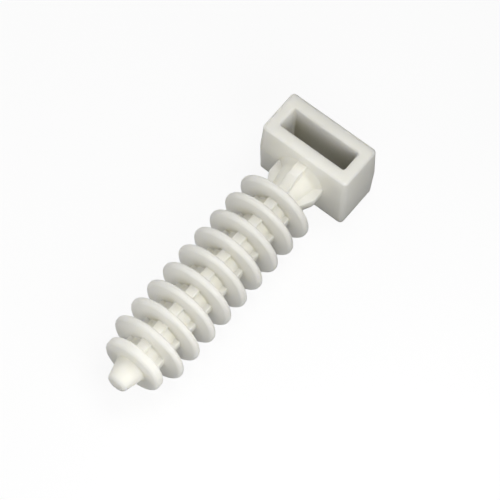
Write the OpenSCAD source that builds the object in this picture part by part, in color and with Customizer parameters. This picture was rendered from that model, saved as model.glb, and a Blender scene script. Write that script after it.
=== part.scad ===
// Cable tie mount: a ribbed push-in wall plug with a strap loop for its head, moulded in one piece.
// The plug's axis runs along Y, its tip towards -Y. The strap passes through the head along Z.
// The origin is on the plug's axis, where the head's front crest meets the wall.

/* [Head] */
// Length of the strap slot, across the head
slot_l = 9.2; // [6:0.1:13]
// Width of the strap slot
slot_w = 2.8; // [1.8:0.1:4]
// Radius of the slot's inner corners
slot_corner_r = 0.3; // [0.15:0.05:0.6]
// Rounding of the slot's two mouths
mouth_r = 0.25; // [0.1:0.05:0.4]
// Wall at each end of the slot, at its mouth
end_wall = 1.45; // [1.1:0.05:2.5]
// Wall in front of the slot and behind it, at its mouth
face_wall = 1.55; // [1.1:0.05:2.5]
// Height of the head, along the slot
head_h = 9.7; // [7:0.1:13]
// Draft of the head's sides away from the parting line, in degrees
head_draft = 2.5; // [1:0.25:5]
// Radius of the head's upright corners, at the mouths
corner_r = 0.5; // [0.4:0.05:0.8]
// Rounding of the head's upper and lower outer edges
edge_r = 0.3; // [0.1:0.05:0.4]

/* [Neck] */
// Clear length between the head's crest and the last fin
neck_l = 4.4; // [3.5:0.1:8]
// Diameter of the neck in front of its flare
neck_d = 4.6; // [4.2:0.1:5]
// Diameter of the flare where it meets the head
flare_d = 6.2; // [5.4:0.1:7.2]
// Slope of the flare from the plug's axis, in degrees
flare_slope = 55; // [45:1:65]
// Radius of the hollow between the neck and its flare
flare_r = 0.6; // [0.2:0.05:0.9]
// Diameter across the four gussets
gusset_d = 6.4; // [5.5:0.1:7.6]
// Length of the gussets at their full height
gusset_l = 1.75; // [0.8:0.05:2]
// Length over which the gussets run out to the ribs
gusset_run_out = 1.4; // [0.5:0.05:1.5]

/* [Plug] */
// Diameter of the holding fins
fin_d = 9.6; // [8:0.1:12]
// Diameter of the smaller first fin
lead_fin_d = 7.6; // [6.5:0.1:8]
// Thickness of the first fin
lead_fin_t = 1.3; // [0.85:0.05:1.8]
// Number of fins, the first one included
fin_count = 10; // [4:1:14]
// Thickness of the other fins
fin_t = 0.9; // [0.85:0.05:1.6]
// Radius of a fin's rim edges
fin_edge_r = 0.42; // [0.1:0.01:0.42]
// Fillet between a fin and the round core
fin_fillet_r = 0.15; // [0.05:0.01:0.2]
// Distance from fin to fin
fin_pitch = 2.84; // [2.4:0.02:4]
// Diameter of the round core
core_d = 3.8; // [3.4:0.1:4.1]
// Diameter across the core's four ribs
rib_d = 4.9; // [4.6:0.1:5.2]
// Width of a rib
rib_w = 1.35; // [0.9:0.05:1.5]
// Radius of the outer edges of a rib and of a gusset
rib_edge_r = 0.18; // [0.05:0.01:0.2]
// Fillet between a rib and the round core
rib_fillet_r = 0.15; // [0.05:0.01:0.25]

/* [Tip] */
// Length of the tip in front of the first fin
tip_l = 2.7; // [1.5:0.05:5]
// Diameter of the tip at the first fin
tip_root_d = 3.8; // [3:0.1:4]
// Diameter of the tip at its end
tip_end_d = 2.4; // [1.6:0.1:2.8]
// Rounding of the tip's end
tip_edge_r = 0.55; // [0.1:0.05:0.6]

/* [Hidden] */
$fn = 64;
nylon = [0.87, 0.86, 0.82];

// How far each side of the head leans in, from the parting line to a mouth
lean = head_h / 2 * tan(head_draft);
// Head at its mouths and, front to back, at the parting line
mouth_across = slot_l + 2 * end_wall;
mouth_thick = slot_w + 2 * face_wall;
head_thick = mouth_thick + 2 * lean;
// Centres of the head's upright corners, from the slot's axis
corner_x = mouth_across / 2 - corner_r;
corner_y = mouth_thick / 2 - corner_r;
// Centres of the slot's corners, from the slot's axis
slot_corner_x = slot_l / 2 - slot_corner_r;
slot_corner_y = slot_w / 2 - slot_corner_r;
// Excess length by which the slot's cut passes both mouths
cut_over = 1;
// Depth to which the neck and its gussets are rooted in the head's front wall
root_depth = face_wall / 2;
// Depth by which a fin's fillet is let into the core, so that the two surfaces cross
let_in = 0.03;
// Where the gussets' slope meets the ribs
gusset_end = -gusset_l - gusset_run_out;
// Plug stations along its axis, from the wall
last_fin = -neck_l - fin_t / 2;
tip_root = last_fin - (fin_count - 1) * fin_pitch - fin_t / 2;
lead_fin = tip_root + lead_fin_t / 2;
tip_end = tip_root - tip_l;

// Turns an upright shape so that it lies along the plug, its top towards the head
module along_plug() {
    rotate([-90, 0, 0])
        children();
}

// Two mirrored copies of a side profile with a flat web between them
module both_sides(reach, tall) {
    square([2 * reach, tall], center = true);
    for (side = [0, 1])
        mirror([side, 0])
            translate([reach, 0])
                children();
}

// A side profile carried round a rectangle whose corner centres are at +-x and +-y
module carried_round(x, y, tall) {
    rotate([90, 0, 90])
        linear_extrude(2 * x, center = true)
            both_sides(y, tall)
                children();
    rotate([90, 0, 0])
        linear_extrude(2 * y, center = true)
            both_sides(x, tall)
                children();
    for (left = [0, 1], front = [0, 1])
        mirror([left, 0])
            mirror([0, front])
                translate([x, y])
                    rotate_extrude(angle = 90)
                        children();
}

// Side of the head from a corner's centre out: widest at the parting line, edges rounded
module head_side() {
    run = edge_r / tan(45 + head_draft / 2);
    flat_end = corner_r - run;
    side_start = [corner_r + run * sin(head_draft), head_h / 2 - run * cos(head_draft)];
    intersection() {
        union() {
            polygon([
                [0, head_h / 2],
                [flat_end, head_h / 2],
                side_start,
                [corner_r + lean, 0],
                [side_start.x, -side_start.y],
                [flat_end, -head_h / 2],
                [0, -head_h / 2]
            ]);
            for (half = [-1, 1])
                translate([flat_end, half * (head_h / 2 - edge_r)])
                    circle(edge_r);
        }
        translate([0, -head_h])
            square([corner_r + 2 * lean, 2 * head_h]);
    }
}

// Side of the slot's cut from a corner's centre out: straight, then round over both mouths
module slot_side() {
    translate([0, -head_h / 2 - cut_over])
        square([slot_corner_r, head_h + 2 * cut_over]);
    for (half = [0, 1])
        mirror([0, half])
            translate([slot_corner_r, head_h / 2 - mouth_r])
                difference() {
                    square([mouth_r, mouth_r + cut_over]);
                    translate([mouth_r, 0])
                        circle(mouth_r);
                }
}

// Strap loop: the drafted block with its slot
module head() {
    translate([0, head_thick / 2, 0])
        difference() {
            carried_round(corner_x, corner_y, head_h)
                head_side();
            carried_round(slot_corner_x, slot_corner_y, head_h + 2 * cut_over)
                slot_side();
        }
}

// Section of a bar from the axis out, its outer edges rounded
module bar_section(reach) {
    translate([0, -rib_w / 2])
        square([reach - rib_edge_r, rib_w]);
    translate([0, -rib_w / 2 + rib_edge_r])
        square([reach, rib_w - 2 * rib_edge_r]);
    for (side = [-1, 1])
        translate([reach - rib_edge_r, side * (rib_w / 2 - rib_edge_r)])
            circle(rib_edge_r);
}

// One rib of the core's section, with a fillet on each flank
module rib_section() {
    bar_section(rib_d / 2);
    // The fillet's centre touches the flank's line and the round core
    flank = rib_w / 2;
    fillet_y = flank + rib_fillet_r;
    fillet_x = sqrt(pow(core_d / 2 + rib_fillet_r, 2) - pow(fillet_y, 2));
    touch = core_d / 2 / (core_d / 2 + rib_fillet_r);
    for (side = [0, 1])
        mirror([0, side])
            difference() {
                polygon([
                    [0, 0],
                    [fillet_x, flank],
                    [fillet_x, fillet_y],
                    [fillet_x * touch, fillet_y * touch]
                ]);
                translate([fillet_x, fillet_y])
                    circle(rib_fillet_r);
            }
}

// Round core with its four ribs, from inside the tip to inside the head
module core() {
    translate([0, 0, lead_fin])
        linear_extrude(root_depth - lead_fin) {
            circle(d = core_d);
            for (turn = [0:90:270])
                rotate(turn)
                    rib_section();
        }
}

// Half section of a fin: a rounded rim, a narrow land and fillets at the root
module fin_section(diameter, thick) {
    reach = diameter / 2;
    translate([0, -thick / 2])
        square([reach - fin_edge_r, thick]);
    translate([0, -thick / 2 + fin_edge_r])
        square([reach, thick - 2 * fin_edge_r]);
    for (side = [-1, 1])
        translate([reach - fin_edge_r, side * (thick / 2 - fin_edge_r)])
            circle(fin_edge_r);
    for (side = [0, 1])
        mirror([0, side])
            translate([core_d / 2 - let_in, thick / 2])
                difference() {
                    square(2 * fin_fillet_r, center = true);
                    translate([fin_fillet_r, fin_fillet_r])
                        circle(fin_fillet_r);
                }
}

// Row of fins, the first one smaller and thicker
module fins() {
    translate([0, 0, lead_fin])
        rotate_extrude()
            fin_section(lead_fin_d, lead_fin_t);
    for (i = [0:fin_count - 2])
        translate([0, 0, last_fin - i * fin_pitch])
            rotate_extrude()
                fin_section(fin_d, fin_t);
}

// Blunt cone that finds the drilled hole
module tip() {
    slope = atan2((tip_root_d - tip_end_d) / 2, tip_l);
    run = tip_edge_r * tan(45 - slope / 2);
    flat_end = tip_end_d / 2 - run;
    side_start = [tip_end_d / 2 + run * sin(slope), tip_end + run * cos(slope)];
    rotate_extrude()
        intersection() {
            union() {
                polygon([
                    [0, tip_end],
                    [flat_end, tip_end],
                    side_start,
                    [tip_root_d / 2, tip_root],
                    [tip_root_d / 2, lead_fin],
                    [0, lead_fin]
                ]);
                translate([flat_end, tip_end + tip_edge_r])
                    circle(tip_edge_r);
            }
            translate([0, tip_end])
                square([tip_root_d, lead_fin - tip_end]);
        }
}

// Half section of the neck: a slight cone, then a hollow flare that runs into the head
module neck_section() {
    neck_r = neck_d / 2;
    // Where the flare's line leaves the neck, and how far its rounding reaches each way
    corner = -(flare_d - neck_d) / 2 / tan(flare_slope);
    touch = flare_r * tan(flare_slope / 2);
    hollow = [neck_r + flare_r, corner - touch];
    hollow_end = [neck_r + touch * sin(flare_slope), corner + touch * cos(flare_slope)];
    rooted_r = flare_d / 2 + lean * tan(flare_slope);
    polygon([
        [0, gusset_end],
        [core_d / 2, gusset_end],
        [neck_r, hollow.y],
        [neck_r, corner],
        [rooted_r, lean],
        [rooted_r, root_depth],
        [0, root_depth]
    ]);
    difference() {
        polygon([
            [0, hollow.y],
            hollow,
            hollow_end,
            [0, hollow_end.y]
        ]);
        translate(hollow)
            circle(flare_r);
    }
}

// Gusset: the rib's bar carried higher, cut to the slope on which it runs out
module gusset() {
    rise = (gusset_d - rib_d) / 2;
    sunk = (gusset_d - core_d) / 2;
    intersection() {
        translate([0, 0, -neck_l])
            linear_extrude(neck_l + root_depth)
                bar_section(gusset_d / 2);
        rotate([90, 0, 0])
            linear_extrude(gusset_d, center = true)
                polygon([
                    [0, -gusset_l - gusset_run_out * sunk / rise],
                    [core_d / 2, -gusset_l - gusset_run_out * sunk / rise],
                    [gusset_d / 2 + rise, -gusset_l + gusset_run_out],
                    [gusset_d / 2 + rise, root_depth + gusset_run_out],
                    [0, root_depth + gusset_run_out]
                ]);
    }
}

// Flared neck and its four gussets, rooted in the head's front wall
module neck() {
    rotate_extrude()
        neck_section();
    for (turn = [0:90:270])
        rotate(turn)
            gusset();
}

// The whole moulding
module tie_mount() {
    color(nylon) {
        head();
        along_plug() {
            neck();
            core();
            fins();
            tip();
        }
    }
}

tie_mount();
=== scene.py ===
from math import cos, pi, radians, sin

import bpy
from mathutils import Matrix, Vector


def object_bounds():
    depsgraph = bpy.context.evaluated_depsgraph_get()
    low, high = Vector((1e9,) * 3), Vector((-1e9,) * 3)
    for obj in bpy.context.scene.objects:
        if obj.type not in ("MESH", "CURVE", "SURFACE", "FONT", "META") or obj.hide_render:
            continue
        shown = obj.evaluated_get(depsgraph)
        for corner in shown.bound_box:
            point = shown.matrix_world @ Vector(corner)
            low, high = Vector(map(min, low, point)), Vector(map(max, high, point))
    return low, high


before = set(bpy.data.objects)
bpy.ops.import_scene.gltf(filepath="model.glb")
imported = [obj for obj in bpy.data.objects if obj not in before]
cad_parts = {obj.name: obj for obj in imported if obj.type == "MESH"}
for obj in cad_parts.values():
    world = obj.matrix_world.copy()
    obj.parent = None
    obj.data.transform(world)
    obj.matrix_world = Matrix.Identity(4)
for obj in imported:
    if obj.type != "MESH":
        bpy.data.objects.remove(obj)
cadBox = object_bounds()
scene = bpy.context.scene
scene.view_settings.view_transform = "Standard"
mm = 0.001                  # in metres
plainWhite = (1, 1, 1, 1)
print("frame loaded:", ", ".join(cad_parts))


# A shader socket that takes part in plain sums, so that 1 - mask adds its own Math node
class Wire:
    def __init__(self, tree, socket=None):
        self.tree = tree
        self.socket = socket

    # Any node: its settings go in first, then the values or wires of its sockets
    def node(self, kind, settings=None, sockets=None, out=0):
        made = self.tree.nodes.new(kind)
        for name, value in (settings or {}).items():
            setattr(made, name, value)
        for name, value in (sockets or {}).items():
            if isinstance(value, Wire):
                self.tree.links.new(value.socket, made.inputs[name])
            else:
                made.inputs[name].default_value = value
        return Wire(self.tree, made.outputs[out] if made.outputs else None)

    # Between two colours; a colour Mix has its inputs at 6 and 7 and its result at 2
    def blend(self, factor, first, second):
        return self.node("ShaderNodeMix", {"data_type": "RGBA"}, {0: factor, 6: first, 7: second}, 2)

    # How far a value is on its way from low to high, as 0 to 1
    def share(self, value, low, high):
        return self.node("ShaderNodeMapRange", {}, {"Value": value, "From Min": low, "From Max": high})

    def sum(self, operation, first, second):
        return self.node("ShaderNodeMath", {"operation": operation}, {0: first, 1: second})

    def __add__(self, other):
        return self.sum("ADD", self, other)

    def __radd__(self, other):
        return self.sum("ADD", other, self)

    def __sub__(self, other):
        return self.sum("SUBTRACT", self, other)

    def __rsub__(self, other):
        return self.sum("SUBTRACT", other, self)

    def __mul__(self, other):
        return self.sum("MULTIPLY", self, other)

    def __rmul__(self, other):
        return self.sum("MULTIPLY", other, self)


def newMaterial(name):
    material = bpy.data.materials.new(name)
    material.use_nodes = True
    material.node_tree.nodes.clear()
    return material, Wire(material.node_tree)


# Moulded nylon: warm off-white and a little translucent, satin, with faint clouds and a fine grain; painted
# shade darkens it deep in hollows such as the slot, and a bluer tone placed by occlusion between the fins
# offsets the warm tint that bounced light gives there
nylonSet = {
    "pale": (0.905, 0.887, 0.8, 1),
    "shade": (0.875, 0.855, 0.765, 1),
    "gapBounceOffset": (0.9, 0.887, 0.83, 1),       # bluer tone between the fins, placed by occlusion, that offsets the warm tint bounced light gives there
    "hollow": (0.27, 0.25, 0.13, 1),    # painted shade deep in the slot and other hollows
    "hollowReach": 8,       # mm, within which a wall opposite counts towards the painted shade and the tone between the fins
    "hollowSamples": 12,
    "hollowEdge": 0.22,     # share of open view at which the painted shade in hollows is gone
    "gapEdge": 0.3,         # share of open view up to which the bluer tone between the fins is full
    "openEdge": 0.8,        # and at which it is gone
    "cloudSize": 5,         # mm
    "cloudDetail": 3,
    "grainSize": 0.22,      # mm
    "grainDetail": 2,
    "grainDepth": 0.006,    # mm
    "grainMiddle": 0.5,     # the grain swings round this, from 0 to 1
    "roughness": 0.5,
    "roughSpread": 0.1,     # how far the grain moves the roughness, from its least to its most
    "gloss": 0.2,
    "scatterReach": 2.5,    # mm that light spreads under the surface
    "scatterTint": (1, 1.02, 1.15),     # for red, green and blue
    "softEdge": 0.12,       # mm
    "softSamples": 6,
}


def makeNylon(want):
    material, wire = newMaterial("mouldedNylon")
    place = wire.node("ShaderNodeTexCoord", out="Object")
    clouds = wire.node(
        "ShaderNodeTexNoise", {},
        {"Vector": place, "Scale": 1 / (want["cloudSize"] * mm), "Detail": want["cloudDetail"]})
    grain = wire.node(
        "ShaderNodeTexNoise", {},
        {"Vector": place, "Scale": 1 / (want["grainSize"] * mm), "Detail": want["grainDetail"]})
    # Painted shade: an occlusion node darkens the colour towards the painted shade tone where walls close
    # in, and shifts it to the bluer tone between the fins
    openness = wire.node(
        "ShaderNodeAmbientOcclusion", {"samples": want["hollowSamples"], "only_local": True},
        {"Distance": want["hollowReach"] * mm}, "AO")
    clearOfPaintedShade = wire.share(openness, 0, want["hollowEdge"])
    airy = wire.share(openness, want["gapEdge"], want["openEdge"])
    outside = wire.blend(clouds, want["shade"], want["pale"])
    colour = wire.blend(clearOfPaintedShade, want["hollow"], wire.blend(airy, want["gapBounceOffset"], outside))
    softened = wire.node(
        "ShaderNodeBevel", {"samples": want["softSamples"]}, {"Radius": want["softEdge"] * mm})
    bumped = wire.node(
        "ShaderNodeBump", {},
        {"Strength": 1, "Distance": want["grainDepth"] * mm, "Height": grain, "Normal": softened})
    surface = wire.node(
        "ShaderNodeBsdfPrincipled", {},
        {
            "Base Color": colour,
            "Roughness": want["roughness"] + want["roughSpread"] * (grain - want["grainMiddle"]),
            "Specular IOR Level": want["gloss"],
            "Subsurface Weight": 1,
            "Subsurface Radius": want["scatterTint"],
            "Subsurface Scale": want["scatterReach"] * mm,
            "Normal": bumped,
        })
    wire.node("ShaderNodeOutputMaterial", {}, {"Surface": surface})
    return material


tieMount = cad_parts["tie_mount"]
tieMount.data.materials.clear()
tieMount.data.materials.append(makeNylon(nylonSet))
print("nylon on the tie mount")


# Rays that see the white studio itself: straight from the camera, in a reflection or through something
def shownRays(wire):
    rays = ("Is Camera Ray", "Is Glossy Ray", "Is Transmission Ray")
    straight, mirrored, through = (wire.node("ShaderNodeLightPath", out=ray) for ray in rays)
    return straight + mirrored + through


# Pale floor under the part: nearly white to the eye, with the part's own soft shadow
floorSet = {
    "reach": 400,           # mm each way
    "pale": (0.95, 0.95, 0.95, 1),
    "bounce": (0.06, 0.06, 0.06, 1),    # what it throws back on the part
    "glow": 0.89,           # share of the floor that shows plain white, so that its shadow stays faint
}


def makeFloor(want):
    material, wire = newMaterial("paleFloor")
    shown = shownRays(wire)
    colour = wire.blend(shown, want["bounce"], want["pale"])
    plain = wire.node("ShaderNodeBsdfDiffuse", {}, {"Color": colour})
    glow = wire.node("ShaderNodeEmission", {}, {"Color": plainWhite, "Strength": shown})
    surface = wire.node("ShaderNodeMixShader", {}, {0: shown * want["glow"], 1: plain, 2: glow})
    wire.node("ShaderNodeOutputMaterial", {}, {"Surface": surface})
    reach = want["reach"] * mm
    low = cadBox[0].z
    corners = [(-reach, -reach, low), (reach, -reach, low), (reach, reach, low), (-reach, reach, low)]
    mesh = bpy.data.meshes.new("floor")
    mesh.from_pydata(corners, [], [(0, 1, 2, 3)])
    mesh.materials.append(material)
    floor = bpy.data.objects.new("floor", mesh)
    scene.collection.objects.link(floor)


makeFloor(floorSet)
print("floor laid")


# Seen from the part: azimuth 0 is off the tip, 90 to the right of the plug, 180 behind the head
def heading(azimuth, elevation):
    around, up = radians(azimuth), radians(elevation)
    return Vector((sin(around) * cos(up), -cos(around) * cos(up), sin(up)))


# Soft round boxes, in a room that looks white and gives little light. Each is turned to a point on the part,
# and at level 1 it would by itself show a white face there as white. Lengths in mm, angles in degrees
lightSet = {
    "room": 0.02,
    "boxes": {
        "overhead": {
            "at": (0, -13, 0), "azimuth": 170, "elevation": 75, "away": 140, "size": 100, "level": 0.55},
        "right": {
            "at": (0, -33, 0), "azimuth": 90, "elevation": 42, "away": 70, "size": 60, "level": 0.635},
        "tipRight": {
            "at": (0, -33, 0), "azimuth": 60, "elevation": 8, "away": 40, "size": 35, "level": 0.44},
        "tipLeft": {
            "at": (0, -27, 0), "azimuth": 312, "elevation": 10, "away": 90, "size": 75, "level": 0.55},
        "left": {
            "at": (0, -13, 0), "azimuth": 250, "elevation": 12, "away": 140, "size": 100, "level": 0.205},
    },
}


def makeLights(want):
    world = bpy.data.worlds.new("paleRoom")
    world.use_nodes = True
    world.node_tree.nodes.clear()
    wire = Wire(world.node_tree)
    room = wire.node(
        "ShaderNodeBackground", {},
        {"Color": plainWhite, "Strength": want["room"] + (1 - want["room"]) * shownRays(wire)})
    wire.node("ShaderNodeOutputWorld", {}, {"Surface": room})
    scene.world = world
    for name, box in want["boxes"].items():
        lamp = bpy.data.lights.new(name, "AREA")
        lamp.shape = "DISK"
        lamp.size = box["size"] * mm
        lamp.energy = box["level"] * (pi * box["away"] * mm) ** 2
        holder = bpy.data.objects.new(name, lamp)
        facing = heading(box["azimuth"], box["elevation"])
        holder.location = (Vector(box["at"]) + facing * box["away"]) * mm
        holder.rotation_euler = (-facing).to_track_quat("-Z", "Y").to_euler()
        holder.visible_camera = False
        scene.collection.objects.link(holder)


makeLights(lightSet)
print("lights up")


# Camera at the photograph's angle, with a long lens. Lengths in mm, angles in degrees
cameraSet = {
    "azimuth": 34.2,        # round from the tip, towards the right of the plug
    "elevation": 63.95,
    "roll": 4.5,
    "aim": (0.2, -9.41, -3.86),         # at the middle of the picture
    "distance": 383,
    "lens": 240,
    "sensor": 36,
    "nearest": 10,          # nothing closer than this is shown
}


def makeCamera(want):
    around, roll = radians(want["azimuth"]), radians(want["roll"])
    back = heading(want["azimuth"], want["elevation"])
    levelRight = Vector((cos(around), sin(around), 0))
    levelUp = back.cross(levelRight)
    right = levelRight * cos(roll) + levelUp * sin(roll)
    over = back.cross(right)
    lens = bpy.data.cameras.new("camera")
    lens.sensor_width = want["sensor"]
    lens.lens = want["lens"]
    lens.clip_start = want["nearest"] * mm
    holder = bpy.data.objects.new("camera", lens)
    turn = Matrix((right, over, back)).transposed().to_4x4()
    holder.matrix_world = Matrix.Translation((Vector(want["aim"]) + back * want["distance"]) * mm) @ turn
    scene.collection.objects.link(holder)
    scene.camera = holder


makeCamera(cameraSet)
print("camera set")
